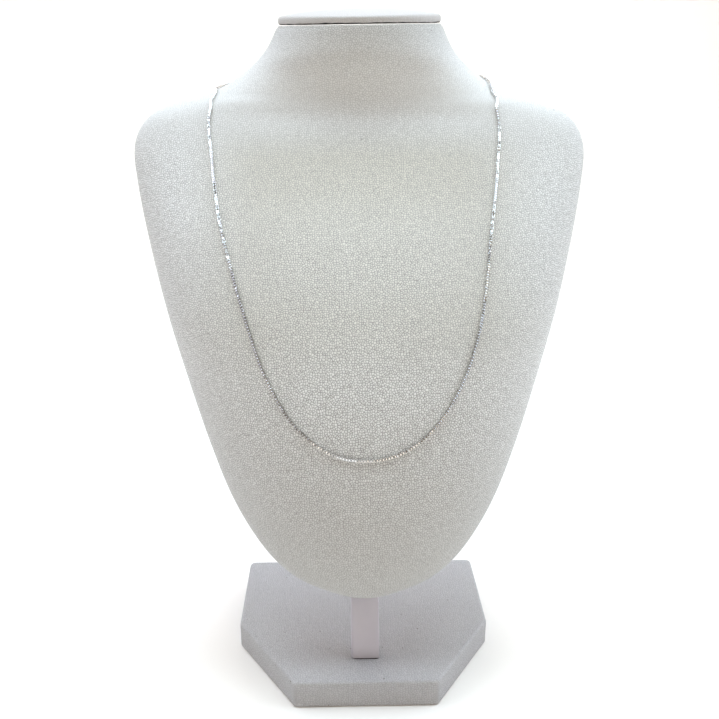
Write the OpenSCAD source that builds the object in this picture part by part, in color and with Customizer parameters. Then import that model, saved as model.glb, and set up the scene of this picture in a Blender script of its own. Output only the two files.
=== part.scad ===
// A fine box chain round a padded neck bust, on a leaning post and a six-sided base.
// Millimetres. Z is up, the bust faces -Y, and the base stands on Z = 0 with its centre at the origin.

/* [Base] */
// Width of the base, across X
base_width = 127; // [110:1:150]
// Depth of the base, from front to back
base_depth = 105; // [95:1:130]
// Thickness of the base
base_height = 14; // [10:0.5:22]
// Width of the straight front edge
front_edge = 67.5; // [50:0.5:80]
// Length of the straight sides, behind the cut front corners
side_edge = 58.5; // [45:0.5:70]
// Rounding of the upright corners
corner_round = 3; // [1:0.5:6]
// Soft edge of the padded cover, top and bottom
soft_edge = 1.5; // [0.5:0.1:2]

/* [Post] */
// Width of the post
post_width = 13.5; // [9:0.5:18]
// Thickness of the post board, measured level
post_thickness = 6; // [4:0.5:9]
// How far the post runs up the back of the bust
post_overlap = 95; // [60:1:120]
// Distance from the front of the base to the front of the post's foot
post_setback = 16; // [10:0.5:24]
// Clearance between the post and the back of the bust
post_gap = 0.3; // [0.2:0.05:0.5]

/* [Bust] */
// Angle by which the bust and the post lean back
lean_angle = 28.6; // [24:0.1:32]
// Height of the bust's lower tip over the base
tip_rise = 32; // [26:0.5:40]
// Height of the chest, from the lower tip to the start of the neck
chest_height = 222; // [205:1:240]
// Width over the shoulders
bust_width = 227; // [210:1:245]
// Greatest thickness of the chest, measured level
bust_depth = 76; // [68:0.5:84]
// Height of the neck
neck_height = 37.5; // [32:0.5:44]
// Width of the neck at its top
neck_width = 82.5; // [76:0.5:90]
// Thickness of the neck at its top, measured level
neck_depth = 66; // [60:0.5:72]

/* [Neck cap] */
// Height of the rolled rim of the cap
rim_height = 2.7; // [2:0.1:4]
// Height of the dome over the rim
dome_height = 4.5; // [3:0.1:8]
// Groove between the neck and the cap
seam_gap = 0.3; // [0.2:0.05:0.6]

/* [Chain] */
// Width of the chain, over the flats of a link
chain_width = 1.3; // [1:0.05:1.8]
// Clearance between the chain and the bust
chain_gap = 0.4; // [0.3:0.05:0.6]
// Outside diameter of the clasp's ring
clasp_ring = 6; // [5:0.25:8]
// Diameter of the clasp's ring wire
clasp_wire = 1.5; // [1.2:0.1:2]
// Length of each end barrel of the clasp
barrel_length = 4; // [3:0.25:6]
// Diameter of the end barrels
barrel_width = 1.9; // [1.7:0.1:2.4]
// Clearance between a barrel and the end of the chain
clasp_gap = 0.3; // [0.2:0.05:0.5]

/* [Hidden] */
bust_sides = 64;
row_steps = 3;
// Rings of the chain's tube on each side, and how many entries of its route they stop short of the last one.
chain_rings = 38;
route_trim = 0.55;
// Cut corners of the chain's outline, as the share of its width that stays flat to each side of the middle.
chain_flat = 0.32;
// Steps of the halving search for a height.
halvings = 22;

// Chest sections from the lower tip up. Columns: height as a share of chest_height, half width as a share of
// half bust_width, then the front, the widest line and the back, all as shares of bust_depth from the back
// plane, the roundness of the front and of the back (2 is an ellipse, more is squarer), and the tilt in degrees.
chest_rows = [
  [0.000, 0.045, 0.13, 0.08, 0.040, 2.0, 2.0, 0],
  [0.008, 0.115, 0.22, 0.09, 0.020, 2.0, 2.4, 0],
  [0.026, 0.205, 0.32, 0.10, 0.006, 2.0, 3.0, 0],
  [0.054, 0.325, 0.41, 0.12, 0.000, 2.0, 4.0, 0],
  [0.108, 0.440, 0.55, 0.13, 0.000, 2.0, 5.0, 0],
  [0.198, 0.560, 0.72, 0.14, 0.000, 2.0, 5.0, 0],
  [0.311, 0.658, 0.87, 0.16, 0.000, 2.1, 5.0, 0],
  [0.446, 0.760, 0.97, 0.17, 0.000, 2.2, 5.0, 0],
  [0.581, 0.852, 1.00, 0.20, 0.000, 2.3, 5.0, 0],
  [0.716, 0.931, 0.92, 0.24, 0.000, 2.3, 4.5, 0],
  [0.829, 0.984, 0.79, 0.29, 0.000, 2.3, 4.0, 0],
  [0.910, 1.000, 0.71, 0.34, 0.000, 2.2, 3.5, 0],
  [0.967, 0.946, 0.68, 0.37, 0.000, 2.1, 3.2, 0],
  [1.000, 0.828, 0.70, 0.38, 0.000, 2.0, 3.0, 0.5],
];

// Neck sections, from the shoulders up, in the same columns as shares of the neck's own sizes.
neck_rows = [
  [0.143, 1.800, 0.85, 0.47, 0.000, 1.95, 2.6, 1],
  [0.371, 1.435, 0.94, 0.52, 0.030, 1.9, 2.3, 1.5],
  [0.657, 1.160, 1.07, 0.57, 0.100, 2.0, 2.1, 2],
  [1.000, 1.000, 1.150, 0.63, 0.150, 2.0, 2.0, 2.6],
];

// Cap sections from the seam up. Columns: height in the rim as a share of rim_height, height in the dome as a
// share of dome_height, and size of the outline as a share of the neck's top outline.
cap_rows = [
  [0.00, 0.00, 0.960],
  [0.06, 0.00, 0.982],
  [0.25, 0.00, 0.995],
  [0.90, 0.00, 0.995],
  [1.00, 0.10, 0.989],
  [1.00, 0.26, 0.975],
  [1.00, 0.40, 0.945],
  [1.00, 0.49, 0.900],
  [1.00, 0.64, 0.790],
  [1.00, 0.82, 0.600],
  [1.00, 0.95, 0.350],
  [1.00, 1.00, 0.060],
];

// The way the chain takes round the neck, from its lowest point in front to the clasp behind. Columns: height as
// a share of the bust's height, and the angle round the bust from the front on the +X and on the -X side.
chain_route = [
  [0.300, 0, 0],
  [0.313, 11, 11],
  [0.356, 20.5, 20.5],
  [0.420, 26, 26],
  [0.495, 28.5, 28.7],
  [0.570, 29.5, 31.5],
  [0.646, 30, 34],
  [0.725, 31.5, 35.5],
  [0.782, 33.7, 37.7],
  [0.834, 38.5, 43.5],
  [0.856, 45.5, 51.5],
  [0.868, 55, 62.5],
  [0.8775, 63, 77],
  [0.882, 67, 93],
  [0.888, 73.5, 110],
  [0.899, 90, 129],
  [0.911, 116, 146],
  [0.921, 147, 160],
  [0.927, 180, 180],
];

// The columns of a section by name.
function height_of(row) = row[0];
function half_of(row) = row[1];
function front_of(row) = row[2];
function widest_of(row) = row[3];
function back_of(row) = row[4];
function front_round_of(row) = row[5];
function back_round_of(row) = row[6];
function tilt_of(row) = row[7];

tip_level = base_height + tip_rise;
neck_level = tip_level + chest_height;
bust_height = chest_height + neck_height;
post_front = -base_depth / 2 + post_setback;

// Where the front of the post and, ahead of it, the flat back of the bust lie at a height.
function post_plane(z) = post_front + (z - base_height) * tan(lean_angle);
function back_plane(z) = post_plane(z) - post_gap;

// The rows of both tables in millimetres.
bust_rows = concat(
  [for (r = chest_rows) [
    tip_level + height_of(r) * chest_height,
    half_of(r) * bust_width / 2,
    front_of(r) * bust_depth,
    widest_of(r) * bust_depth,
    back_of(r) * bust_depth,
    front_round_of(r),
    back_round_of(r),
    tilt_of(r)
  ]],
  [for (r = neck_rows) [
    neck_level + height_of(r) * neck_height,
    half_of(r) * neck_width / 2,
    front_of(r) * neck_depth,
    widest_of(r) * neck_depth,
    back_of(r) * neck_depth,
    front_round_of(r),
    back_round_of(r),
    tilt_of(r)
  ]]
);
row_count = len(bust_rows);
stop_count = len(chain_route);

// A smooth curve through four neighbouring entries, t running from the second to the third.
function smooth(a, b, c, d, t) =
  0.5 * (2 * b + (c - a) * t + (2 * a - 5 * b + 4 * c - d) * t * t + (3 * b - a - 3 * c + d) * t * t * t);

// The section at a place counted in rows.
function row_at(s) =
  let (i = min(floor(s), row_count - 2), t = s - i)
  smooth(bust_rows[max(i - 1, 0)], bust_rows[i], bust_rows[i + 1], bust_rows[min(i + 2, row_count - 1)], t);

// The place in rows of a height, found by halving.
function place_of(z, low, high, turns) =
  let (mid = (low + high) / 2)
  turns == 0 ? mid
  : height_of(row_at(mid)) < z ? place_of(z, mid, high, turns - 1)
  : place_of(z, low, mid, turns - 1);

function signed_power(v, p) = sign(v) * pow(abs(v), p);

// A point of a section at an angle from the front, with the outline scaled about the widest line and lifted.
function outline_point(row, angle, size = 1, lift = 0) =
  let (
    front = cos(angle) > 0,
    p = 2 / (front ? front_round_of(row) : back_round_of(row)),
    reach = front ? front_of(row) - widest_of(row) : widest_of(row) - back_of(row),
    side = size * half_of(row) * signed_power(sin(angle), p),
    ahead = size * reach * signed_power(cos(angle), p),
    z = height_of(row)
  )
  [side, back_plane(z) - widest_of(row) - ahead, z + lift - ahead * tan(tilt_of(row))];

function surface_point(z, angle) = outline_point(row_at(place_of(z, 0, row_count - 1, halvings)), angle);

// The outward direction of the surface.
function surface_normal(z, angle) =
  let (
    round = surface_point(z, angle + 1) - surface_point(z, angle - 1),
    up = surface_point(z + 0.5, angle) - surface_point(z - 0.5, angle),
    n = cross(round, up)
  )
  n / norm(n);

// The triangles between two neighbouring rings of a skin.
function skin_faces(rings, sides) = [
  for (i = [0 : rings - 2], j = [0 : sides - 1])
    let (k = (j + 1) % sides, a = i * sides, b = (i + 1) * sides)
    each [[a + j, b + j, b + k], [a + j, b + k, a + k]]
];

// Closes a skin with one flat face at each end.
module skin(rings, sides, points) {
  bottom = [for (j = [0 : sides - 1]) j];
  top = [for (j = [0 : sides - 1]) (rings - 1) * sides + sides - 1 - j];
  polyhedron(points = points, faces = concat(skin_faces(rings, sides), [bottom, top]), convexity = 4);
}

module base_outline(inset) {
  offset(r = corner_round) offset(delta = -corner_round - inset)
    polygon([
      [-base_width / 2, base_depth / 2],
      [-base_width / 2, base_depth / 2 - side_edge],
      [-front_edge / 2, -base_depth / 2],
      [front_edge / 2, -base_depth / 2],
      [base_width / 2, base_depth / 2 - side_edge],
      [base_width / 2, base_depth / 2]
    ]);
}

module base() {
  color("whitesmoke")
    hull() {
      linear_extrude(base_height, $fn = 32) base_outline(soft_edge);
      translate([0, 0, soft_edge]) linear_extrude(base_height - 2 * soft_edge, $fn = 32) base_outline(0);
    }
}

module post() {
  top = tip_level + post_overlap;
  color("white")
    rotate([90, 0, 90])
    linear_extrude(post_width, center = true)
      polygon([
        [post_plane(base_height), base_height],
        [post_plane(base_height) + post_thickness, base_height],
        [post_plane(top) + post_thickness, top],
        [post_plane(top), top]
      ]);
}

module bust() {
  rings = (row_count - 1) * row_steps + 1;
  color("ivory")
    skin(rings, bust_sides, [
      for (i = [0 : rings - 1], j = [0 : bust_sides - 1])
        outline_point(row_at(i / row_steps), j * 360 / bust_sides)
    ]);
}

module neck_cap() {
  color("ivory")
    skin(len(cap_rows), bust_sides, [
      for (r = cap_rows, j = [0 : bust_sides - 1])
        outline_point(bust_rows[row_count - 1], j * 360 / bust_sides, r[2],
          seam_gap + r[0] * rim_height + r[1] * dome_height)
    ]);
}

// A point of the route on one side, +1 or -1, at a place counted in its entries.
function route_entry(i, side) =
  let (
    last = stop_count - 1,
    k = i < 0 ? -i : i > last ? 2 * last - i : i,
    angle = chain_route[k][side > 0 ? 1 : 2]
  )
  [chain_route[k][0], i < 0 ? -angle : i > last ? 360 - angle : angle];

function route_at(s, side) =
  let (i = min(floor(s), stop_count - 2), t = s - i)
  smooth(
    route_entry(i - 1, side), route_entry(i, side), route_entry(i + 1, side), route_entry(i + 2, side), t
  );

clasp_level = tip_level + chain_route[stop_count - 1][0] * bust_height;
clasp_out = surface_normal(clasp_level, 180);
clasp_centre = surface_point(clasp_level, 180) + (barrel_width / 2 + chain_gap) * clasp_out;
clasp_reach = clasp_ring / 2 + barrel_length - clasp_wire / 2;

// A ring of the chain: its centre and the direction away from the bust.
function ring_place(k, side) =
  k > chain_rings ? [clasp_centre + [side * (clasp_reach + clasp_gap), 0, 0], clasp_out]
  : let (
      route = route_at((stop_count - 1 - route_trim) * k / chain_rings, side),
      z = tip_level + route[0] * bust_height,
      out = surface_normal(z, side * route[1])
    )
    [surface_point(z, side * route[1]) + (chain_width / 2 + chain_gap) * out, out];

module chain() {
  places = concat(
    [for (k = [chain_rings + 1 : -1 : 1]) ring_place(k, -1)],
    [for (k = [0 : chain_rings + 1]) ring_place(k, 1)]
  );
  count = len(places);
  flat = chain_width / 2;
  cut = chain_flat * chain_width;
  profile = [
    [flat, cut], [cut, flat], [-cut, flat], [-flat, cut],
    [-flat, -cut], [-cut, -flat], [cut, -flat], [flat, -cut]
  ];
  color("silver")
    skin(count, 8, [
      for (i = [0 : count - 1])
        let (
          ahead = places[min(i + 1, count - 1)][0] - places[max(i - 1, 0)][0],
          along = ahead / norm(ahead),
          across_raw = cross(places[i][1], along),
          across = across_raw / norm(across_raw),
          away = cross(along, across)
        )
        for (p = profile) places[i][0] + p[0] * across + p[1] * away
    ]);
}

// A round spring clasp, drawn as one plain piece: a ring with a barrel on each side.
module clasp() {
  color("silver")
    translate(clasp_centre)
    rotate([atan2(clasp_out[2], clasp_out[1]) - 90, 0, 0]) {
      rotate_extrude($fn = 48)
        translate([clasp_ring / 2 - clasp_wire / 2, 0]) circle(d = clasp_wire, $fn = 24);
      for (side = [-1, 1])
        translate([side * (clasp_ring / 2 - clasp_wire / 2), 0, 0])
        rotate([0, side * 90, 0])
          cylinder(d = barrel_width, h = barrel_length, $fn = 32);
    }
}

base();
post();
bust();
neck_cap();
chain();
clasp();
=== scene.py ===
import math

import bpy
import numpy as np
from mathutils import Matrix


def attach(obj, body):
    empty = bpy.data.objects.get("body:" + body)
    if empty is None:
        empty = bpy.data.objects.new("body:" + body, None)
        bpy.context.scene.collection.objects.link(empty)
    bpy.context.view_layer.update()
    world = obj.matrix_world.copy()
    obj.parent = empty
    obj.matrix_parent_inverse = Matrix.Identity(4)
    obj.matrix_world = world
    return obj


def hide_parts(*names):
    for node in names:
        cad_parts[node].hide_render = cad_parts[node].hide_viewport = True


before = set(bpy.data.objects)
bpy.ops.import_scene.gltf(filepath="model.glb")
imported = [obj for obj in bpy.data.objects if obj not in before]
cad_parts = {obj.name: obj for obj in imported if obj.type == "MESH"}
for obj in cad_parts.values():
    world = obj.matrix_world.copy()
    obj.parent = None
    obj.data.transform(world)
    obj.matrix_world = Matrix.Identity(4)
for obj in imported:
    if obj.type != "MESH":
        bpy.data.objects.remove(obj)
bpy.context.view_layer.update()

mm = 0.001


# Camera, light and floor

studio = {
    "cameraPlace": (-11.5, -385.0, 284.0),  # millimetres from the middle of the base's underside
    "cameraDown": 18.57,  # degrees below level
    "cameraRight": 1.415,  # degrees turned to the right
    "lensPixels": 863.0,
    "framePixels": 719,
    "sensorWidth": 36.0,
    "floorColor": (0.97, 0.93, 0.88),
    # the floor in metres: level as far as the curve, which turns up into a wall behind
    "floorFront": -2.4,
    "floorHalfWidth": 3.2,
    "curveFrom": 0.9,
    "curveRound": 0.7,
    "wallTop": 2.6,
    "worldColor": (0.15, 0.125, 0.10),
    # each lamp: place and target in metres, size, and watts of red, green and blue
    "lamps": {
        "topLight": ((0.0, 0.1, 1.2), (0.0, 0.101, 0.0), (1.2, 0.7), (10.8, 12.8, 14.0)),
        "rearTopLight": ((0.0, 0.45, 1.25), (0.0, 0.0, 0.1), (0.3, 0.3), (0.5, 0.5, 0.9)),
        "leftLight": ((-0.85, 0.1, 0.95), (0.0, 0.03, 0.2), (0.9, 0.8), (5.2, 5.5, 6.4)),
        "rightLight": ((0.95, 0.1, 0.72), (0.0, 0.03, 0.2), (0.9, 0.9), (6.2, 7.1, 8.3)),
        "frontCard": ((0.0, -1.1, 0.34), (0.0, 0.03, 0.17), (0.8, 0.55), (1.75, 1.66, 1.52)),
        "frontLamp": ((0.25, -0.85, 0.95), (0.0, 0.03, 0.17), (0.8, 0.8), (0.95, 0.78, 0.52)),
        "sparkLamp": ((-0.35, -0.75, 0.75), (0.0, 0.03, 0.17), (0.12, 0.12), (0.12, 0.12, 0.12)),
        "backdropLight": ((0.0, 0.85, 1.15), (0.0, 1.5, 0.3), (2.4, 0.4), (11.5, 11.2, 10.8)),
    },
}


def addCamera():
    data = bpy.data.cameras.new("camera")
    data.sensor_width = studio["sensorWidth"]
    data.lens = studio["lensPixels"] / studio["framePixels"] * studio["sensorWidth"]
    data.clip_start = 0.01
    data.clip_end = 20.0
    data.dof.use_dof = False
    cam = bpy.data.objects.new("camera", data)
    bpy.context.collection.objects.link(cam)
    cam.location = [c * mm for c in studio["cameraPlace"]]
    cam.rotation_euler = (math.radians(90.0 - studio["cameraDown"]), 0.0, math.radians(-studio["cameraRight"]))
    bpy.context.scene.camera = cam


def addAreaLight(name, place, target, size, watts):
    data = bpy.data.lights.new(name, "AREA")
    data.shape = "RECTANGLE"
    data.size, data.size_y = size
    data.energy = max(watts)
    data.color = [w / max(watts) for w in watts]
    lamp = bpy.data.objects.new(name, data)
    bpy.context.collection.objects.link(lamp)
    lamp.location = place
    aim = np.array(target) - np.array(place)
    lamp.rotation_euler = (
        math.atan2(math.hypot(aim[0], aim[1]), -aim[2]),
        0.0,
        math.atan2(aim[1], aim[0]) - math.pi / 2,
    )


def wrapMesh(made, spots, around=None):
    # lays the cover's flat sheet, in metres, on the mesh as a named map; around is each ring's full length
    mesh = made.data
    corner = np.zeros(len(mesh.loops), int)
    mesh.loops.foreach_get("vertex_index", corner)
    starts = np.zeros(len(mesh.polygons), int)
    mesh.polygons.foreach_get("loop_start", starts)
    flat = spots[corner]
    if around is not None:
        spread = np.maximum.reduceat(flat[:, 0], starts) - np.minimum.reduceat(flat[:, 0], starts)
        spread = np.repeat(spread, np.diff(np.append(starts, len(corner))))
        crosses = (spread > around[corner] / 2) & (flat[:, 0] < 0)
        flat[:, 0] += np.where(crosses, around[corner], 0.0)
    layer = mesh.uv_layers.new(name="sheet")
    layer.data.foreach_set("uv", flat.ravel())


def ringSheet(rings, level):
    # sheet coordinates of stacked rings: across from the front line, up from the ring nearest to a level
    stack = np.array(rings)
    steps = np.linalg.norm(np.roll(stack, -1, axis=1) - stack, axis=2)
    total = steps.sum(1, keepdims=True)
    across = np.cumsum(steps, axis=1) - steps
    across = np.where(across > total / 2, across - total, across)
    climb = np.linalg.norm(np.diff(stack, axis=0), axis=2)
    up = np.concatenate([np.zeros((1, stack.shape[1])), np.cumsum(climb, axis=0)])
    up -= up[np.abs(stack[:, 0, 2] - level).argmin()]
    spots = np.stack([across, up], -1).reshape(-1, 2) * mm
    return spots, np.broadcast_to(total, across.shape).ravel() * mm


def meshObject(name, points, faces, smooth=True):
    mesh = bpy.data.meshes.new(name)
    mesh.from_pydata([tuple(map(float, p)) for p in points], [], [tuple(map(int, f)) for f in faces])
    mesh.validate()
    mesh.update()
    if smooth:
        mesh.polygons.foreach_set("use_smooth", [True] * len(mesh.polygons))
    made = bpy.data.objects.new(name, mesh)
    bpy.context.collection.objects.link(made)
    return made


def addStudio():
    addCamera()
    world = bpy.data.worlds.new("studio")
    bpy.context.scene.world = world
    world.use_nodes = True
    world.node_tree.nodes["Background"].inputs["Color"].default_value = (*studio["worldColor"], 1.0)
    world.node_tree.nodes["Background"].inputs["Strength"].default_value = 1.0
    for name, lamp in studio["lamps"].items():
        addAreaLight(name, *lamp)

    # a floor that curves up behind, so that no horizon shows
    start, r, half = studio["curveFrom"], studio["curveRound"], studio["floorHalfWidth"]
    profile = [(studio["floorFront"], 0.0), (start, 0.0)]
    for i in range(1, 25):
        turn = math.pi / 2 * i / 24
        profile.append((start + r * math.sin(turn), r - r * math.cos(turn)))
    profile.append((start + r, studio["wallTop"]))
    points, faces = [], []
    for y, z in profile:
        points += [(-half, y, z), (half, y, z)]
    for i in range(len(profile) - 1):
        faces.append((2 * i, 2 * i + 1, 2 * i + 3, 2 * i + 2))
    floor = meshObject("floor", points, faces)
    paint = bpy.data.materials.new("floorPaint")
    paint.use_nodes = True
    shader = paint.node_tree.nodes["Principled BSDF"]
    shader.inputs["Base Color"].default_value = (*studio["floorColor"], 1.0)
    shader.inputs["Roughness"].default_value = 0.75
    shader.inputs["Specular IOR Level"].default_value = 0.2
    floor.data.materials.append(paint)
    settings = bpy.context.scene.view_settings
    settings.view_transform = "Standard"
    settings.look = "None"
    print("studio ready")


addStudio()


# Node groups shared by the finishes


def newGroup(name, inputs, outputs):
    group = bpy.data.node_groups.new(name, "ShaderNodeTree")
    for label, kind, value in inputs:
        socket = group.interface.new_socket(label, in_out="INPUT", socket_type=kind)
        if value is not None:
            socket.default_value = value
    for label, kind in outputs:
        group.interface.new_socket(label, in_out="OUTPUT", socket_type=kind)
    return group, group.nodes.new("NodeGroupInput"), group.nodes.new("NodeGroupOutput")


def feed(tree, socket, value):
    # gives a socket a plain value, or links it to another node
    if isinstance(value, (int, float, tuple)):
        socket.default_value = value
    else:
        tree.links.new(value, socket)


def mathNode(tree, operation, *values, clamp=False):
    node = tree.nodes.new("ShaderNodeMath")
    node.operation = operation
    node.use_clamp = clamp
    for socket, value in zip(node.inputs, values):
        feed(tree, socket, value)
    return node.outputs[0]


def mapRange(tree, value, low, high, toLow=0.0, toHigh=1.0):
    # a smooth change from one value to another while the input runs from low to high
    node = tree.nodes.new("ShaderNodeMapRange")
    node.interpolation_type = "SMOOTHSTEP"
    labels = ("Value", "From Min", "From Max", "To Min", "To Max")
    for label, given in zip(labels, (value, low, high, toLow, toHigh)):
        feed(tree, node.inputs[label], given)
    return node.outputs["Result"]


def scaledVector(tree, vector, factor):
    node = tree.nodes.new("ShaderNodeVectorMath")
    node.operation = "SCALE"
    tree.links.new(vector, node.inputs[0])
    tree.links.new(factor, node.inputs["Scale"])
    return node.outputs["Vector"]


def noiseNode(tree, vector, scale, detail=2.0, rough=0.5):
    node = tree.nodes.new("ShaderNodeTexNoise")
    tree.links.new(vector, node.inputs["Vector"])
    node.inputs["Scale"].default_value = scale
    node.inputs["Detail"].default_value = detail
    node.inputs["Roughness"].default_value = rough
    return node.outputs["Fac"]


def makePebbleGroup():
    # soft rounded pebbles of embossed leatherette, parted by creases of uneven width
    group, start, end = newGroup(
        "pebbleGrain",
        [("Vector", "NodeSocketVector", None), ("Pebbles per metre", "NodeSocketFloat", 1000.0),
         ("Crease width", "NodeSocketFloat", 0.4), ("Fine grain", "NodeSocketFloat", 0.25)],
        [("Height", "NodeSocketFloat"), ("Crease", "NodeSocketFloat"), ("Pebble", "NodeSocketFloat")],
    )
    place = scaledVector(group, start.outputs["Vector"], start.outputs["Pebbles per metre"])
    wobble = noiseNode(group, place, 0.5, 3.0, 0.62).node
    shift = group.nodes.new("ShaderNodeVectorMath")
    shift.operation = "MULTIPLY_ADD"
    group.links.new(wobble.outputs["Color"], shift.inputs[0])
    shift.inputs[1].default_value = (1.1, 1.1, 1.1)
    group.links.new(place, shift.inputs[2])
    found = []
    for feature in ("DISTANCE_TO_EDGE", "F1"):
        cells = group.nodes.new("ShaderNodeTexVoronoi")
        cells.voronoi_dimensions = "2D"
        cells.feature = feature
        cells.inputs["Scale"].default_value = 1.0
        cells.inputs["Randomness"].default_value = 0.92
        group.links.new(shift.outputs["Vector"], cells.inputs["Vector"])
        found.append(cells)
    edge = found[0].outputs["Distance"]
    split = group.nodes.new("ShaderNodeSeparateColor")
    group.links.new(found[1].outputs["Color"], split.inputs["Color"])
    uneven = mathNode(group, "MULTIPLY_ADD", noiseNode(group, place, 0.7, 1.0, 0.5), 1.4, 0.3)
    width = mathNode(group, "MULTIPLY", start.outputs["Crease width"], uneven)
    slope = mapRange(group, edge, 0.0, width)
    fine = mathNode(group, "MULTIPLY", noiseNode(group, place, 2.6, 2.0, 0.6), start.outputs["Fine grain"])
    dome = mapRange(group, found[1].outputs["Distance"], 0.75, 0.0, 0.0, 0.7)
    height = mathNode(group, "ADD", mathNode(group, "ADD", slope, dome), fine)
    group.links.new(height, end.inputs["Height"])
    line = mapRange(group, edge, 0.0, mathNode(group, "MULTIPLY", width, 0.55))
    group.links.new(mathNode(group, "SUBTRACT", 1.0, line), end.inputs["Crease"])
    group.links.new(split.outputs["Red"], end.inputs["Pebble"])
    return group


def makeSpeckGroup():
    # small dark specks, far apart, each at a random place
    group, start, end = newGroup(
        "darkSpecks",
        [("Vector", "NodeSocketVector", None), ("Specks per metre", "NodeSocketFloat", 80.0),
         ("Size", "NodeSocketFloat", 0.03), ("Share", "NodeSocketFloat", 0.3)],
        [("Mask", "NodeSocketFloat")],
    )
    place = scaledVector(group, start.outputs["Vector"], start.outputs["Specks per metre"])
    cells = group.nodes.new("ShaderNodeTexVoronoi")
    cells.voronoi_dimensions = "2D"
    cells.inputs["Scale"].default_value = 1.0
    group.links.new(place, cells.inputs["Vector"])
    split = group.nodes.new("ShaderNodeSeparateColor")
    group.links.new(cells.outputs["Color"], split.inputs["Color"])
    some = mathNode(group, "LESS_THAN", split.outputs["Red"], start.outputs["Share"])
    reach = mathNode(group, "MULTIPLY", start.outputs["Size"], split.outputs["Green"])
    near = mathNode(group, "LESS_THAN", cells.outputs["Distance"], reach)
    group.links.new(mathNode(group, "MULTIPLY", some, near), end.inputs["Mask"])
    return group


def makeToneGroup():
    # broad, faint changes of tone, as on a cover that has been handled
    group, start, end = newGroup(
        "toneDrift",
        [("Vector", "NodeSocketVector", None), ("Light", "NodeSocketColor", (1, 1, 1, 1)),
         ("Dark", "NodeSocketColor", (0.8, 0.8, 0.8, 1)), ("Spots per metre", "NodeSocketFloat", 9.0)],
        [("Color", "NodeSocketColor"), ("Amount", "NodeSocketFloat")],
    )
    place = scaledVector(group, start.outputs["Vector"], start.outputs["Spots per metre"])
    broad = noiseNode(group, place, 1.0, 3.0, 0.55)
    amount = mapRange(group, broad, 0.3, 0.7)
    blend = group.nodes.new("ShaderNodeMix")
    blend.data_type = "RGBA"
    group.links.new(amount, blend.inputs["Factor"])
    group.links.new(start.outputs["Light"], blend.inputs["A"])
    group.links.new(start.outputs["Dark"], blend.inputs["B"])
    group.links.new(blend.outputs["Result"], end.inputs["Color"])
    group.links.new(amount, end.inputs["Amount"])
    return group


def makeEdgeWearHighlightGroup():
    # a mask of convex edges, where a finish rubs thin and where the leatherette's painted edge highlight goes
    group, start, end = newGroup(
        "edgeWearAndHighlight",
        [("Breaks per metre", "NodeSocketFloat", 500.0), ("Vector", "NodeSocketVector", None)],
        [("Mask", "NodeSocketFloat")],
    )
    geometry = group.nodes.new("ShaderNodeNewGeometry")
    pointy = mapRange(group, geometry.outputs["Pointiness"], 0.505, 0.56)
    place = scaledVector(group, start.outputs["Vector"], start.outputs["Breaks per metre"])
    broken = mapRange(group, noiseNode(group, place, 1.0, 3.0, 0.6), 0.35, 0.65)
    group.links.new(mathNode(group, "MULTIPLY", pointy, broken), end.inputs["Mask"])
    return group


# each change runs from one height to another, in metres, and from one amount to another
pullAndShade = {
    "grainAtTip": (0.07, 0.15, 0.55, 1.0),
    "grainAtNeck": (0.235, 0.268, 1.0, 0.5),
    "tipPaintedShade": (0.063, 0.161, 0.42, 0.0),
    "shoulderPaintedShade": (0.237, 0.258, 0.0, 0.155),
    "shoulderEnd": (0.262, 0.279, 1.0, 0.47),  # share of the shoulders' painted shade that goes on up the neck
    "underCapPaintedShade": (0.278, 0.311, 0.0, 0.36),
    "middleAcross": (0.045, 0.095, 1.0, 0.0),  # by the distance from the middle line, not by height
    "middleStart": (0.148, 0.185, 0.0, 0.55),
    "middleRise": (0.198, 0.235, 0.0, 0.25),
    "middleEnd": (0.242, 0.262, 1.0, 0.0),
}


def makePullAndShadeGroup():
    # Depth: the grain is shallow at the tip and where the cover is pulled tight over the shoulders and neck.
    # Level: the share of the crease tone that the whole cover takes on; it is painted shade, darker towards the tip,
    # in a band over the shoulders and under the cap.
    # Middle: painted warm shade on the middle of the chest. Level and Middle are tones matched to the photograph, so
    # they stand in for its light.
    group, start, end = newGroup(
        "coverPullAndShade", [("Vector", "NodeSocketVector", None)],
        [("Depth", "NodeSocketFloat"), ("Level", "NodeSocketFloat"), ("Middle", "NodeSocketFloat")])
    split = group.nodes.new("ShaderNodeSeparateXYZ")
    group.links.new(start.outputs["Vector"], split.inputs["Vector"])

    def byHeight(name):
        return mapRange(group, split.outputs["Z"], *pullAndShade[name])

    depth = mathNode(group, "MULTIPLY", byHeight("grainAtTip"), byHeight("grainAtNeck"))
    shoulders = mathNode(group, "MULTIPLY", byHeight("shoulderPaintedShade"), byHeight("shoulderEnd"))
    level = mathNode(group, "ADD", mathNode(group, "ADD", byHeight("tipPaintedShade"), shoulders), byHeight("underCapPaintedShade"))
    across = mapRange(group, mathNode(group, "ABSOLUTE", split.outputs["X"]), *pullAndShade["middleAcross"])
    along = mathNode(group, "ADD", byHeight("middleStart"), byHeight("middleRise"))
    along = mathNode(group, "MULTIPLY", along, byHeight("middleEnd"))
    group.links.new(mathNode(group, "MULTIPLY", across, along), end.inputs["Middle"])
    group.links.new(depth, end.inputs["Depth"])
    group.links.new(level, end.inputs["Level"])
    return group


pebbleGroup = makePebbleGroup()
pullAndShadeGroup = makePullAndShadeGroup()
toneGroup = makeToneGroup()
edgeWearHighlightGroup = makeEdgeWearHighlightGroup()
speckGroup = makeSpeckGroup()


def startMaterial(name):
    made = bpy.data.materials.new(name)
    made.use_nodes = True
    tree = made.node_tree
    return made, tree, tree.nodes["Principled BSDF"]


def placeGroup(tree, group, values):
    node = tree.nodes.new("ShaderNodeGroup")
    node.node_tree = group
    for label, value in values.items():
        feed(tree, node.inputs[label], value)
    return node


def objectPlace(tree):
    return tree.nodes.new("ShaderNodeTexCoord").outputs["Object"]


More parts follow.
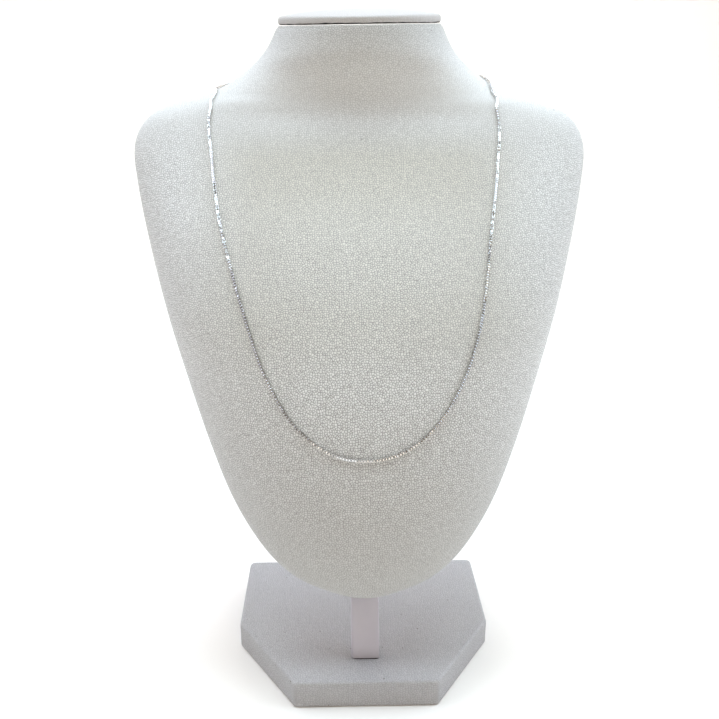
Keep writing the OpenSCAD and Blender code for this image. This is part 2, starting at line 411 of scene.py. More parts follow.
def sheetPlace(tree):
    spot = tree.nodes.new("ShaderNodeUVMap")
    spot.uv_map = "sheet"
    return spot.outputs["UV"]


def mixColor(tree, amount, a, b):
    node = tree.nodes.new("ShaderNodeMix")
    node.data_type = "RGBA"
    for label, value in (("Factor", amount), ("A", a), ("B", b)):
        feed(tree, node.inputs[label], value)
    return node.outputs["Result"]


def bumpNormal(tree, height, strength, depth):
    node = tree.nodes.new("ShaderNodeBump")
    for label, value in (("Strength", strength), ("Distance", depth), ("Height", height)):
        feed(tree, node.inputs[label], value)
    return node.outputs["Normal"]


def makeSeamShade():
    # painted shade: the faces deep in the seam under the cap and in the groove at the post's foot are given a
    # near-black colour
    made, tree, shader = startMaterial("seamShade")
    tone = placeGroup(tree, toneGroup, {
        "Vector": objectPlace(tree), "Light": (0.10, 0.09, 0.08, 1.0), "Dark": (0.05, 0.045, 0.04, 1.0),
        "Spots per metre": 260.0,
    })
    tree.links.new(tone.outputs["Color"], shader.inputs["Base Color"])
    shader.inputs["Roughness"].default_value = 0.9
    shader.inputs["Specular IOR Level"].default_value = 0.1
    return made


seamShade = makeSeamShade()


def shadeFaces(made, first, last):
    # gives the faces from first up to last the painted seam shade
    made.data.materials.append(seamShade)
    index = np.zeros(len(made.data.polygons), int)
    index[first:last] = len(made.data.materials) - 1
    made.data.polygons.foreach_set("material_index", index)


def makeLeatherette(name, look):
    made, tree, shader = startMaterial(name)
    place = objectPlace(tree)
    grain = placeGroup(tree, pebbleGroup, {
        "Vector": sheetPlace(tree), "Pebbles per metre": look["pebbles"],
        "Crease width": look["creaseWidth"], "Fine grain": look["fineGrain"],
    })
    tone = placeGroup(tree, toneGroup, {
        "Vector": place, "Light": (*look["light"], 1.0), "Dark": (*look["dark"], 1.0), "Spots per metre": 11.0,
    })
    faded = mathNode(tree, "MULTIPLY", grain.outputs["Pebble"], look["pebbleShade"])
    crease = mathNode(tree, "MULTIPLY", grain.outputs["Crease"], look["creaseShade"])
    crease = mathNode(tree, "ADD", crease, faded, clamp=True)
    ground = tone.outputs["Color"]
    height = grain.outputs["Height"]
    if look["middle"] is not None:
        # painted shade: Level darkens the cover through the crease tone, Middle leans the middle of the chest to a
        # warm shade
        tight = placeGroup(tree, pullAndShadeGroup, {"Vector": place})
        crease = mathNode(tree, "MULTIPLY_ADD", crease, tight.outputs["Depth"], tight.outputs["Level"])
        ground = mixColor(tree, tight.outputs["Middle"], ground, (*look["middle"], 1.0))
        height = mathNode(tree, "MULTIPLY", height, tight.outputs["Depth"])
    # the creases are darkened partly as dirt and partly as painted shade in the grain's hollows
    color = mixColor(tree, crease, ground, (*look["crease"], 1.0))
    if look["edge"] is not None:
        # convex edges made lighter: rubbed wear, and a painted highlight along the edges
        edgeMask = placeGroup(tree, edgeWearHighlightGroup, {"Vector": place, "Breaks per metre": 500.0})
        rubbedAndLit = mathNode(tree, "MULTIPLY", edgeMask.outputs["Mask"], look["edgeWearHighlightShare"])
        color = mixColor(tree, rubbedAndLit, color, (*look["edge"], 1.0))
    specks = placeGroup(tree, speckGroup, {"Vector": sheetPlace(tree), "Share": look["specks"]})
    color = mixColor(tree, specks.outputs["Mask"], color, (0.16, 0.14, 0.12, 1.0))
    tree.links.new(color, shader.inputs["Base Color"])
    rough = mathNode(tree, "MULTIPLY_ADD", grain.outputs["Height"], -0.10, look["roughness"] + 0.08)
    rough = mathNode(tree, "MULTIPLY_ADD", tone.outputs["Amount"], 0.05, rough)
    tree.links.new(rough, shader.inputs["Roughness"])
    shader.inputs["Specular IOR Level"].default_value = look["specular"]
    shader.inputs["Sheen Weight"].default_value = look["sheen"]
    shader.inputs["Sheen Roughness"].default_value = 0.5
    tree.links.new(bumpNormal(tree, height, look["bump"], look["bumpDepth"]), shader.inputs["Normal"])
    return made


# Bust

bust = {
    "tip": 46.0,  # height of the lower tip
    "chestHeight": 222.0,
    "neckHeight": 37.5,
    "width": 227.0,
    "depth": 76.0,
    "neckWidth": 82.5,
    "neckDepth": 66.0,
    "lean": 28.6,
    "backAtFloor": -36.8,  # the back plane where it would meet the top of the base
    "baseHeight": 14.0,
    "topLean": 0.9,  # degrees
    "leanFrom": 289.0,  # height where that starts
    "leanOver": 18.0,  # height over which it comes in
    "tipSteps": ((0.02, 0.85), (0.3, 0.8), (0.6, 0.6), (0.85, 0.28)),  # size and drop of each ring below the tip
    "rimRound": 0.9,
    "rings": 190,
    "around": 264,
    "sheetLevel": 190.0,  # height where the sheet's grain runs true
    # height, half width, front, widest line, back, roundness in front and behind, tilt
    "chest": [
        [0.000, 0.045, 0.13, 0.08, 0.040, 2.0, 2.0, 0],
        [0.008, 0.115, 0.22, 0.09, 0.020, 2.0, 2.4, 0],
        [0.026, 0.205, 0.32, 0.10, 0.006, 2.0, 3.0, 0],
        [0.054, 0.325, 0.41, 0.12, 0.000, 2.0, 4.0, 0],
        [0.108, 0.440, 0.55, 0.13, 0.000, 2.0, 5.0, 0],
        [0.198, 0.560, 0.72, 0.14, 0.000, 2.0, 5.0, 0],
        [0.311, 0.658, 0.87, 0.16, 0.000, 2.1, 5.0, 0],
        [0.446, 0.760, 0.97, 0.17, 0.000, 2.2, 5.0, 0],
        [0.581, 0.852, 1.00, 0.20, 0.000, 2.3, 5.0, 0],
        [0.716, 0.931, 0.92, 0.24, 0.000, 2.3, 4.5, 0],
        [0.829, 0.984, 0.79, 0.29, 0.000, 2.3, 4.0, 0],
        [0.910, 1.000, 0.71, 0.34, 0.000, 2.2, 3.5, 0],
        [0.967, 0.946, 0.68, 0.37, 0.000, 2.1, 3.2, 0],
        [1.000, 0.828, 0.70, 0.38, 0.000, 2.0, 3.0, 0.5],
    ],
    "neck": [
        [0.143, 1.800, 0.85, 0.47, 0.000, 1.95, 2.6, 1],
        [0.371, 1.435, 0.94, 0.52, 0.030, 1.9, 2.3, 1.5],
        [0.657, 1.160, 1.07, 0.57, 0.100, 2.0, 2.1, 2],
        [1.000, 1.000, 1.150, 0.63, 0.150, 2.0, 2.0, 2.6],
    ],
    "look": {
        "pebbles": 930.0, "creaseWidth": 0.42, "fineGrain": 0.2,
        "light": (0.835, 0.825, 0.80), "dark": (0.805, 0.795, 0.765), "crease": (0.28, 0.265, 0.245),
        "creaseShade": 0.85, "pebbleShade": 0.16, "roughness": 0.6, "specular": 0.25, "sheen": 0.12,
        "bump": 0.22, "bumpDepth": 0.0002, "edge": (0.97, 0.96, 0.94), "edgeWearHighlightShare": 0.9, "specks": 0.04,
        "middle": (0.60, 0.56, 0.465),  # the painted warm shade that the middle of the chest leans towards
    },
}


def makeBustRows():
    rows = []
    for r in bust["chest"]:
        rows.append([bust["tip"] + r[0] * bust["chestHeight"], r[1] * bust["width"] / 2,
                     *(v * bust["depth"] for v in r[2:5]), *r[5:]])
    neckStart = bust["tip"] + bust["chestHeight"]
    for r in bust["neck"]:
        rows.append([neckStart + r[0] * bust["neckHeight"], r[1] * bust["neckWidth"] / 2,
                     *(v * bust["neckDepth"] for v in r[2:5]), *r[5:]])
    return np.array(rows, float)


bustRows = makeBustRows()


def curveBetween(a, b, c, d, t):
    # the place a share t of the way from b to c, on the smooth curve through all four
    return 0.5 * (2 * b + (c - a) * t + (2 * a - 5 * b + 4 * c - d) * t * t + (3 * b - a - 3 * c + d) * t ** 3)


def smoothRow(rows, s):
    # the section at a place counted in rows
    i = min(int(math.floor(s)), len(rows) - 2)
    return curveBetween(rows[max(i - 1, 0)], rows[i], rows[i + 1], rows[min(i + 2, len(rows) - 1)], s - i)


def backPlane(z):
    return bust["backAtFloor"] + (z - bust["baseHeight"]) * math.tan(math.radians(bust["lean"]))


def rowPoints(row, angles):
    # points of a section in millimetres, at angles from the front, turning to +X
    z, half, front, widest, back, roundFront, roundBack, tilt = row
    s, c = np.sin(angles), np.cos(angles)
    isFront = c > 0
    power = np.where(isFront, 2.0 / roundFront, 2.0 / roundBack)
    reach = np.where(isFront, front - widest, widest - back)
    side = half * np.sign(s) * np.abs(s) ** power
    ahead = reach * np.sign(c) * np.abs(c) ** power
    return np.stack([side, backPlane(z) - widest - ahead, z - ahead * math.tan(math.radians(tilt))], -1)


def travelAlong(points):
    # the distance run from the first point to each of them
    return np.concatenate([[0.0], np.cumsum(np.linalg.norm(np.diff(points, axis=0), axis=1))])


def alongPath(at, travel, values):
    # each value at one distance, or at several
    return np.stack([np.interp(at, travel, column) for column in values.T], -1)


def topLean(points):
    # the top of the neck stands a little higher on the +X side
    share = np.clip((points[:, 2] - bust["leanFrom"]) / bust["leanOver"], 0.0, 1.0)
    points[:, 2] += points[:, 0] * math.tan(math.radians(bust["topLean"])) * share * share * (3 - 2 * share)
    return points


def evenRow(row, count):
    # the same section with its points spread evenly, quarter by quarter
    angles = np.linspace(0.0, math.pi / 2, 361)
    result = []
    for k in range(4):
        dense = rowPoints(row, angles + k * math.pi / 2)
        travel = travelAlong(dense)
        result.append(alongPath(np.linspace(0.0, travel[-1], count // 4 + 1)[:-1], travel, dense))
    return topLean(np.concatenate(result))


def placeOfHeight(z):
    low, high = 0.0, len(bustRows) - 1.0
    for _ in range(30):
        mid = (low + high) / 2
        if smoothRow(bustRows, mid)[0] < z:
            low = mid
        else:
            high = mid
    return (low + high) / 2


def surfacePoint(z, degrees):
    return rowPoints(smoothRow(bustRows, placeOfHeight(z)), np.array([math.radians(degrees)]))[0]


def surfaceNormal(z, degrees):
    around = surfacePoint(z, degrees + 1.0) - surfacePoint(z, degrees - 1.0)
    up = surfacePoint(z + 0.5, degrees) - surfacePoint(z - 0.5, degrees)
    n = np.cross(around, up)
    return n / np.linalg.norm(n)


def tubeFaces(rings, sides):
    # the faces between stacked rings, then one across each end
    faces = []
    for i in range(rings - 1):
        for j in range(sides):
            k = (j + 1) % sides
            faces.append((i * sides + j, i * sides + k, (i + 1) * sides + k, (i + 1) * sides + j))
    faces.append(tuple(range(sides))[::-1])
    faces.append(tuple(range((rings - 1) * sides, rings * sides)))
    return faces


def ringObject(name, rings):
    # one closed mesh from stacked rings in millimetres
    return meshObject(name, np.concatenate(rings) * mm, tubeFaces(len(rings), len(rings[0])))


def addBust():
    count = bust["around"]
    fine = np.linspace(0.0, len(bustRows) - 1, 1200)
    travel = travelAlong(np.array([smoothRow(bustRows, s)[:3] for s in fine]))
    places = np.interp(np.linspace(0.0, travel[-1], bust["rings"]), travel, fine)
    rings = [evenRow(smoothRow(bustRows, s), count) for s in places]

    # the lower tip closes in small rounded steps
    first = rings[0]
    middle = first.mean(0)
    tip = []
    for size, drop in bust["tipSteps"]:
        ring = middle + (first - middle) * size
        ring[:, 2] -= drop
        tip.append(ring)
    rings = tip + rings

    # the upper rim rolls over a soft edge into the seam under the cap
    last = rings.pop()
    middle = last.mean(0)
    outward = last - middle
    outward /= np.linalg.norm(outward, axis=1)[:, None]
    for i in range(6):
        turn = math.pi / 2 * i / 5
        ring = last - outward * bust["rimRound"] * (1 - math.cos(turn))
        ring[:, 2] -= bust["rimRound"] * (1 - math.sin(turn)) + 0.05
        rings.append(ring)
    for inset, drop in ((3.0, 0.05), (9.0, 0.15)):
        ring = last - outward * inset
        ring[:, 2] -= drop
        rings.append(ring)
    made = ringObject("bustCover", rings)
    wrapMesh(made, *ringSheet(rings, bust["sheetLevel"]))
    made.data.materials.append(makeLeatherette("bustLeatherette", bust["look"]))
    # painted shade: the rim's turned-in faces inside the seam under the cap get the dark seam colour
    shadeFaces(made, (len(rings) - 3) * count, (len(rings) - 1) * count)
    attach(made, "root")
    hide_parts("bust")
    print("bust cover:", len(made.data.polygons), "faces")


addBust()


# Neck cap

cap = {
    "seam": 0.45,  # gap over the neck's rim
    "setIn": 0.35,  # how far the rim stands inside the neck's edge
    "seamShadeRings": 6,  # rings of the turned-in underside that lie in the seam and get the painted seam shade
    "height": 7.05,
    "rollRound": 1.2,  # lower edge, rolled under
    "shoulderFront": 1.35,  # rounding from the side to the top, in front and at the sides
    "shoulderSide": 1.9,
    "shoulderTurn": 76.0,
    "domeRoundness": 2.6,
    "domeRings": 29,
    "puckers": 40,
    "puckerDepth": 0.24,
    "sag": 0.22,
    "around": 360,
    "look": {
        "pebbles": 960.0, "creaseWidth": 0.4, "fineGrain": 0.2,
        "light": (0.575, 0.545, 0.52), "dark": (0.555, 0.525, 0.50), "crease": (0.42, 0.415, 0.40),
        "creaseShade": 0.3, "pebbleShade": 0.06, "roughness": 0.5, "specular": 0.35, "sheen": 0.0,
        "bump": 0.3, "bumpDepth": 0.0002, "edge": None, "specks": 0.0, "middle": None,
    },
}


def ringNoise(count, seed, waves):
    # a smooth closed wave round a ring, between about -1 and 1
    rand = np.random.default_rng(seed)
    around = np.arange(count) / count * 2 * math.pi
    total = np.zeros(count)
    for k in waves:
        total += rand.uniform(0.4, 1.0) * np.sin(k * around + rand.uniform(0, 2 * math.pi))
    return total / np.abs(total).max()


def addNeckCap():
    count = cap["around"]
    outline = evenRow(bustRows[-1], count)
    middle = outline.mean(0)
    outward = outline - middle
    radius = np.linalg.norm(outward, axis=1)
    outward /= radius[:, None]
    rand = np.random.default_rng(7)
    around = np.arange(count) / count * 2 * math.pi
    pucker = np.zeros(count)  # narrow folds gathered under the rim
    for k in range(cap["puckers"]):
        at = (k + rand.uniform(-0.4, 0.4)) / cap["puckers"] * 2 * math.pi
        gap = np.angle(np.exp(1j * (around - at)))
        pucker += rand.uniform(0.2, 1.0) * np.exp(-(gap / rand.uniform(0.012, 0.022)) ** 2)
    sag = ringNoise(count, 5, (3, 7, 11, 19, 31))
    r = cap["rollRound"]
    profile = [(-6.0, 0.0, 0), (-2.4, 0.0, 0)]  # outward from the neck's edge, up from the seam, turn of the shoulder
    for k in range(8):
        turn = math.radians(-85 + 85 * k / 7)
        profile.append((-cap["setIn"] - r * (1 - math.cos(turn)), r + 0.03 + r * math.sin(turn), 0))
    profile.append((-cap["setIn"] + 0.02, 1.7, 0))
    profile += [(-cap["setIn"], 2.15, math.radians(cap["shoulderTurn"] * k / 10)) for k in range(11)]
    aside = np.sin(around) ** 2
    shoulder = cap["shoulderFront"] + (cap["shoulderSide"] - cap["shoulderFront"]) * aside
    rings = []
    for offset, z, turn in profile:
        low = math.exp(-((z - 0.2) / 0.5) ** 2)
        wide = math.exp(-((z - 0.8) / 1.2) ** 2)
        reach = offset - shoulder * (1 - math.cos(turn)) - cap["puckerDepth"] * wide * pucker
        ring = outline + outward * reach[:, None]
        ring[:, 2] += cap["seam"] + z + shoulder * math.sin(turn) - low * cap["sag"] * (sag + 0.9 * pucker)
        rings.append(ring)
    edge = rings[-1]
    inward = np.linalg.norm((edge - middle)[:, :2], axis=1)
    rise = edge[:, 2] - outline[:, 2]
    for k in range(1, cap["domeRings"] + 1):
        size = max(1.0 - k / cap["domeRings"], 0.01)
        ring = middle + (edge - middle) * size
        ring[:, 2] = middle[2] + (outline[:, 2] - middle[2]) * size * inward / radius  # keeps the rim's tilt
        ring[:, 2] += rise + (cap["seam"] + cap["height"] - rise) * (1.0 - size ** cap["domeRoundness"])
        rings.append(ring)
    made = ringObject("capCover", rings)
    wrapMesh(made, *ringSheet(rings, outline[:, 2].mean()))
    made.data.materials.append(makeLeatherette("capLeatherette", cap["look"]))
    # painted shade on the cap's underside where it lies in the seam
    shadeFaces(made, 0, (cap["seamShadeRings"] - 1) * count)
    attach(made, "root")
    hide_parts("neck_cap")
    print("neck cap:", len(made.data.polygons), "faces")


addNeckCap()


# Base

base = {
    "width": 127.0,
    "depth": 105.0,
    "height": 14.0,
    "frontEdge": 67.5,
    "sideEdge": 58.5,
    "cornerRound": 3.0,
    "edgeRound": 1.3,
    "topSizes": (0.97, 0.92, 0.84, 0.72, 0.58, 0.42, 0.26, 0.1, 0.02),  # rings of the flat top
    "look": {
        "pebbles": 900.0, "creaseWidth": 0.4, "fineGrain": 0.3,
        "light": (0.55, 0.54, 0.54), "dark": (0.515, 0.50, 0.505), "crease": (0.22, 0.21, 0.21),
        "creaseShade": 0.5, "pebbleShade": 0.1, "roughness": 0.55, "specular": 0.3, "sheen": 0.0,
        "bump": 0.5, "bumpDepth": 0.0002, "edge": (0.80, 0.79, 0.77), "edgeWearHighlightShare": 0.6, "specks": 0.8,
        "middle": None,
    },
}


def baseOutline(inset):
    # the six-sided outline with rounded corners, drawn in by inset millimetres
    w, d = base["width"] / 2, base["depth"] / 2
    corners = np.array([(-base["frontEdge"] / 2, -d), (base["frontEdge"] / 2, -d), (w, d - base["sideEdge"]),
                        (w, d), (-w, d), (-w, d - base["sideEdge"])])
    radius = max(base["cornerRound"] - inset, 0.35)
    arcs = []
    n = len(corners)
    for i in range(n):
        before, here, after = corners[i - 1], corners[i], corners[(i + 1) % n]
        a = (here - before) / np.linalg.norm(here - before)
        b = (after - here) / np.linalg.norm(after - here)
        na, nb = np.array([a[1], -a[0]]), np.array([b[1], -b[0]])  # outward, as the corners run anticlockwise
        cosHalf = math.sqrt((1 + np.dot(na, nb)) / 2)
        away = (na + nb) / np.linalg.norm(na + nb)
        centre = here - away * (inset + radius) / cosHalf
        turn = math.acos(max(-1.0, min(1.0, float(np.dot(na, nb)))))
        angles = math.atan2(na[1], na[0]) + turn * np.arange(9) / 8
        arcs.append(centre + radius * np.column_stack([np.cos(angles), np.sin(angles)]))
    points = []
    for i in range(n):
        begin, goal = arcs[i][-1], arcs[(i + 1) % n][0]
        points += [arcs[i], begin + (goal - begin) * np.arange(1, 16)[:, None] / 16]
    return np.concatenate(points)


def baseSheet(steps, rings):
    # the top lies flat in the sheet and the sides fold outward from its edge
    spots = []
    drop = base["height"]
    for k, ring in enumerate(rings):
        flat = ring[:, :2]
        if k < len(steps):
            along = np.roll(flat, -1, axis=0) - np.roll(flat, 1, axis=0)
            out = np.column_stack([along[:, 1], -along[:, 0]])
            out /= np.linalg.norm(out, axis=1)[:, None]
            flat = flat + out * (drop - ring[:, 2:])
        spots.append(flat)
    return np.concatenate(spots) * mm


def addBase():
    r = base["edgeRound"]
    steps = []
    for i in range(7):  # under edge
        turn = math.pi / 2 * i / 6
        steps.append((r * (1 - math.sin(turn)), r * (1 - math.cos(turn))))
    for share in (0.25, 0.5, 0.75):
        steps.append((0.0, r + (base["height"] - 2 * r) * share))
    for i in range(7):  # top edge
        turn = math.pi / 2 * i / 6
        steps.append((r * (1 - math.cos(turn)), base["height"] - r + r * math.sin(turn)))
    rings = []
    for inset, z in steps:
        flat = baseOutline(inset)
        rings.append(np.column_stack([flat, np.full(len(flat), z)]))
    top = rings[-1]
    middle = np.array([0.0, 2.0, base["height"]])
    for size in base["topSizes"]:
        ring = middle + (top - middle) * size
        ring[:, 2] = base["height"]
        rings.append(ring)
    made = ringObject("baseCover", rings)
    wrapMesh(made, baseSheet(steps, rings))
    made.data.materials.append(makeLeatherette("baseLeatherette", base["look"]))
    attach(made, "root")
    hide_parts("base")
    print("base cover:", len(made.data.polygons), "faces")


addBase()


# Post

post = {
    "width": 13.5,
    "thickness": 6.0,
    "front": -36.5,
    "top": 141.0,
    "edge": 0.5,
    "leftEdge": 1.5,  # the wrapped edge on the -X side is softer
    "footGroove": 0.5,  # height of the shadow gap at the foot
}


def postFront(z):
    return post["front"] + (z - bust["baseHeight"]) * math.tan(math.radians(bust["lean"]))


def makeBoardPaint():
    made, tree, shader = startMaterial("boardPaint")
    place = objectPlace(tree)
    tone = placeGroup(tree, toneGroup, {
        "Vector": place, "Light": (0.64, 0.60, 0.65, 1.0), "Dark": (0.60, 0.56, 0.61, 1.0), "Spots per metre": 40.0,
    })
    edgeMask = placeGroup(tree, edgeWearHighlightGroup, {"Vector": place, "Breaks per metre": 900.0})
    faint = mathNode(tree, "MULTIPLY", edgeMask.outputs["Mask"], 0.2)
    color = mixColor(tree, faint, tone.outputs["Color"], (0.56, 0.54, 0.54, 1.0))
    tree.links.new(color, shader.inputs["Base Color"])
    rough = mathNode(tree, "MULTIPLY_ADD", tone.outputs["Amount"], 0.12, 0.34)
    tree.links.new(rough, shader.inputs["Roughness"])
    ripple = noiseNode(tree, place, 260.0, 2.0, 0.5)
    tree.links.new(bumpNormal(tree, ripple, 0.12, 0.0002), shader.inputs["Normal"])
    return made


def addPost():
    # rounded-edge board, drawn section by section up the lean
    w, t, e, soft = post["width"] / 2, post["thickness"], post["edge"], post["leftEdge"]
    section = []
    for cx, cy, start, r in ((w - e, t - e, 0.0, e), (-w + e, t - e, 90.0, e),
                             (-w + soft, soft, 180.0, soft), (w - e, e, 270.0, e)):
        for k in range(7):
            angle = math.radians(start + 15.0 * k)
            section.append((cx + r * math.cos(angle), cy + r * math.sin(angle)))
    section = np.array(section)
    low, high = bust["baseHeight"], post["top"]
    groove = post["footGroove"]
    heights = [(low, 0.7), (low + groove * 0.8, 0.7), (low + groove, 0.25), (low + groove + 0.25, 0.0)]
    heights += [(low + (high - low) * k / 24, 0.0) for k in range(1, 24)]
    heights += [(high - 0.5, 0.0), (high - 0.15, 0.15), (high, 0.5)]
    rings = []
    for z, inset in heights:
        size = np.array([(w - inset) / w, (t / 2 - inset) / (t / 2)])
        flat = (section - (0.0, t / 2)) * size + (0.0, t / 2)
        rings.append(np.column_stack([flat[:, 0], flat[:, 1] + postFront(z), np.full(len(flat), z)]))
    made = ringObject("postBoard", rings)
    made.data.materials.append(makeBoardPaint())
    # painted shade in the groove at the post's foot
    shadeFaces(made, 0, 2 * len(section))
    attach(made, "root")
    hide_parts("post")
    print("post:", len(made.data.polygons), "faces")


addPost()


# Chain

chain = {
    "width": 1.3,  # over the flats of a link
    "pitch": 0.66,  # from one link to the next
    "band": 0.17,  # thickness of the flat band
    "bandWidth": 0.8,
    "lift": 0.06,  # clearance over the leatherette
    "cornerRound": 0.24,
    "twist": 13.0,  # degrees of the slow wave that the links turn through
    "turnSpread": 3.0,  # degrees by which one link differs from the next
    "tipSpread": 2.5,
    "liftSpread": 0.03,
    "bustHeight": 259.5,
    "claspGap": 6.35,
    "claspLift": 1.35,
    # height, angle round the bust on the +X side and on the -X side
    "route": [
        (0.300, 0, 0), (0.313, 11, 11), (0.356, 20.5, 20.5), (0.420, 26, 26), (0.495, 28.5, 28.7),
        (0.570, 29.5, 31.5), (0.646, 30, 34), (0.725, 31.5, 35.5), (0.782, 33.7, 37.7), (0.834, 38.5, 43.5),
        (0.856, 45.5, 51.5), (0.868, 55, 62.5), (0.8775, 63, 77), (0.882, 67, 93), (0.888, 73.5, 110),
        (0.899, 90, 129), (0.911, 116, 146), (0.921, 147, 160), (0.927, 180, 180),
    ],
}


def routeEntry(i, side):
    # one point of the route; past either end it goes on as on the other side
    last = len(chain["route"]) - 1
    height, right, left = chain["route"][min(abs(i), 2 * last - i)]
    angle = right if side > 0 else left
    if i < 0:
        angle = -angle
    elif i > last:
        angle = 360 - angle
    return np.array([height, angle], float)


def routeAt(s, side):
    i = min(int(math.floor(s)), len(chain["route"]) - 2)
    return curveBetween(*(routeEntry(i + k, side) for k in (-1, 0, 1, 2)), s - i)


def claspCentre():
    z = bust["tip"] + chain["route"][-1][0] * chain["bustHeight"]
    out = surfaceNormal(z, 180.0)
    return surfacePoint(z, 180.0) + chain["claspLift"] * out, out


def halfPath(side):
    places, outs = [], []
    for s in np.linspace(0.0, len(chain["route"]) - 1.0, 700):
        height, angle = routeAt(s, side)
        z = bust["tip"] + height * chain["bustHeight"]
        n = surfaceNormal(z, side * angle)
        p = surfacePoint(z, side * angle)
        near = max(0.0, 1.0 - (abs(p[0]) - chain["claspGap"]) / 14.0) if angle > 150 else 0.0
        near = near * near * (3 - 2 * near) if near < 1 else 1.0
        lift = chain["width"] / 2 + chain["lift"]
        p = p + n * (lift + (chain["claspLift"] - lift) * near)
        if angle > 150 and abs(p[0]) < chain["claspGap"]:
            break
        places.append(p)
        outs.append(n)
    return np.array(places), np.array(outs)


def loopPath():
    rightPlaces, rightOuts = halfPath(1)
    leftPlaces, leftOuts = halfPath(-1)
    return np.concatenate([leftPlaces[:0:-1], rightPlaces]), np.concatenate([leftOuts[:0:-1], rightOuts])


def linkLoop():
    # the rounded square that one link's band follows: across (u) and along (v)
    u, v = chain["width"] / 2 - chain["band"] / 2, (chain["pitch"] + 2 * chain["band"]) / 2 - chain["band"] / 2
    r = chain["cornerRound"] - chain["band"] / 2
    loop = []
    for cu, cv, start in ((u - r, v - r, 0), (-u + r, v - r, 90), (-u + r, -v + r, 180), (u - r, -v + r, 270)):
        for k in range(3):
            angle = math.radians(start + 45 * k)
            loop.append((cu + r * math.cos(angle), cv + r * math.sin(angle), math.cos(angle), math.sin(angle)))
    return np.array(loop)


def linkShape():
    # six points round the flat band at each of twelve stations: outer face faintly crowned
    loop = linkLoop()
    t, b = chain["band"] / 2, chain["bandWidth"] / 2
    band = [(t * 0.86, -b), (t, -b * 0.86), (t, b * 0.86), (t * 0.86, b), (-t, b * 0.94), (-t, -b * 0.94)]
    points = []
    for u, v, nu, nv in loop:
        for outward, depth in band:
            points.append((u + nu * outward, depth, v + nv * outward))
    faces = []
    n, m = len(loop), len(band)
    for i in range(n):
        for j in range(m):
            a, b2 = i * m + j, i * m + (j + 1) % m
            c, d = ((i + 1) % n) * m + (j + 1) % m, ((i + 1) % n) * m + j
            faces.append((a, b2, c, d))
    return np.array(points), np.array(faces)


def makeSilver():
    made, tree, shader = startMaterial("chainSilver")
    place = objectPlace(tree)
    tone = placeGroup(tree, toneGroup, {
        "Vector": place, "Light": (0.86, 0.855, 0.85, 1.0), "Dark": (0.80, 0.79, 0.78, 1.0), "Spots per metre": 120.0,
    })
    tree.links.new(tone.outputs["Color"], shader.inputs["Base Color"])
    shader.inputs["Metallic"].default_value = 1.0
    rough = mathNode(tree, "MULTIPLY_ADD", tone.outputs["Amount"], 0.08, 0.1)
    tree.links.new(rough, shader.inputs["Roughness"])
    scratch = noiseNode(tree, place, 5200.0, 2.0, 0.6)
    tree.links.new(bumpNormal(tree, scratch, 0.15, 0.00002), shader.inputs["Normal"])
    return made


silver = makeSilver()


def addChain():
    path, outs = loopPath()
    travel = travelAlong(path)
    count = int(travel[-1] // chain["pitch"])
    count -= count % 2
    pitch = travel[-1] / count
    shape, shapeFaces = linkShape()
    points, faces = [], []
    rand = np.random.default_rng(11)
    swing = rand.uniform(0, 2 * math.pi, 3)
    for i in range(count):
        at = (i + 0.5) * pitch
        centre = alongPath(at, travel, path)
        ahead = alongPath(at + 0.4, travel, path) - alongPath(at - 0.4, travel, path)
        ahead /= np.linalg.norm(ahead)
        out = alongPath(at, travel, outs)
        centre = centre + out * rand.uniform(0.0, chain["liftSpread"])
        across = np.cross(ahead, out)
        across /= np.linalg.norm(across)
        out = np.cross(across, ahead)
        wave = 0.6 * math.sin(at / 13.0 + swing[0]) + 0.4 * math.sin(at / 5.1 + swing[1])
        turn = math.radians(chain["twist"]) * wave
        turn += math.radians(rand.normal(0.0, chain["turnSpread"])) + (math.pi / 2 if i % 2 else 0.0)
        tip = math.radians(rand.normal(0.0, chain["tipSpread"]))
        ahead, out = ahead * math.cos(tip) + out * math.sin(tip), out * math.cos(tip) - ahead * math.sin(tip)
        side = across * math.cos(turn) + out * math.sin(turn)
        deep = -across * math.sin(turn) + out * math.cos(turn)
        points.append(centre + shape[:, :1] * side + shape[:, 1:2] * deep + shape[:, 2:] * ahead)
        faces.append(shapeFaces + i * len(shape))
    made = meshObject("chainLinks", np.concatenate(points) * mm, np.concatenate(faces), smooth=False)
    made.data.materials.append(silver)
    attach(made, "root")
    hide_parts("chain")
    print("chain:", count, "links,", round(travel[-1], 1), "mm, pitch", round(pitch, 4))


addChain()


# Clasp

clasp = {
    "ring": 6.0,
    "wire": 1.5,
    "ringSteps": 72,
    "wireSides": 18,
    "barrelLength": 4.0,
    "barrelWidth": 1.9,
}


def turnedShape(profile, sides):
    # a lathe shape along +X from (place, radius) pairs
    points = []
    for x, r in profile:
        for k in range(sides):
            angle = 2 * math.pi * k / sides
            points.append((x, r * math.cos(angle), r * math.sin(angle)))
    return np.array(points), tubeFaces(len(profile), sides)


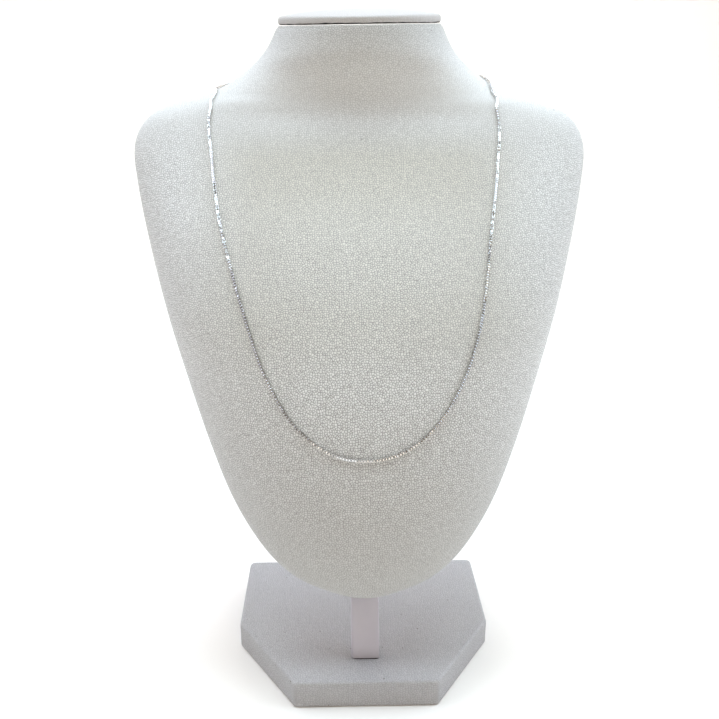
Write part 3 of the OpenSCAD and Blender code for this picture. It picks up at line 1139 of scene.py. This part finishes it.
def addClasp():
    points, faces = [], []

    def add(newPoints, newFaces):
        start = sum(len(p) for p in points)
        points.append(np.array(newPoints))
        faces.extend([tuple(i + start for i in f) for f in newFaces])

    ring, wire = clasp["ring"] / 2 - clasp["wire"] / 2, clasp["wire"] / 2
    steps, sides = clasp["ringSteps"], clasp["wireSides"]
    tube, ringFaces = [], []
    for i in range(steps):
        angle = 2 * math.pi * i / steps
        swell = 1.0 + 0.10 * math.exp(-((math.degrees(angle) - 90) / 14) ** 2)  # collar of the spring's mouth
        start, following = i * sides, (i + 1) % steps * sides
        for k in range(sides):
            turn = 2 * math.pi * k / sides
            r = ring + wire * 0.93 * swell * math.cos(turn)
            tube.append((r * math.cos(angle), r * math.sin(angle), wire * 0.93 * swell * math.sin(turn)))
            nextSide = (k + 1) % sides
            ringFaces.append((start + k, following + k, following + nextSide, start + nextSide))
    add(tube, ringFaces)
    knob, knobFaces = turnedShape([(0.0, 0.34), (0.55, 0.34), (0.6, 0.5), (0.85, 0.55), (1.0, 0.42), (1.05, 0.2)], 16)
    angle = math.radians(52)
    spin = np.array([[math.cos(angle), -math.sin(angle), 0], [math.sin(angle), math.cos(angle), 0], [0, 0, 1]])
    add((knob * 0.75 + np.array([ring + wire * 0.55, 0, 0])) @ spin.T, knobFaces)
    r = clasp["barrelWidth"] / 2
    start, end = ring, ring + clasp["barrelLength"]
    profile = [(start, r * 0.3), (start + 0.35, r * 0.62), (start + 0.7, r * 0.72), (start + 0.95, r * 0.9),
               (start + 1.1, r), (start + 1.7, r), (start + 1.8, r * 0.93), (start + 1.95, r * 0.93),
               (start + 2.05, r), (end - 0.4, r), (end - 0.2, r * 0.95), (end - 0.05, r * 0.82), (end, r * 0.6)]
    barrel, barrelFaces = turnedShape(profile, 28)
    add(barrel, barrelFaces)
    mirrored = barrel * np.array([-1, 1, 1])
    add(mirrored, [tuple(reversed(f)) for f in barrelFaces])
    centre, out = claspCentre()
    across = np.array([1.0, 0.0, 0.0])
    up = np.cross(out, across)
    local = np.concatenate(points)
    placed = centre + local[:, :1] * across + local[:, 1:2] * up + local[:, 2:] * out
    made = meshObject("claspRing", placed * mm, faces)
    made.data.materials.append(silver)
    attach(made, "root")
    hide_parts("clasp")
    print("clasp:", len(made.data.polygons), "faces")


addClasp()
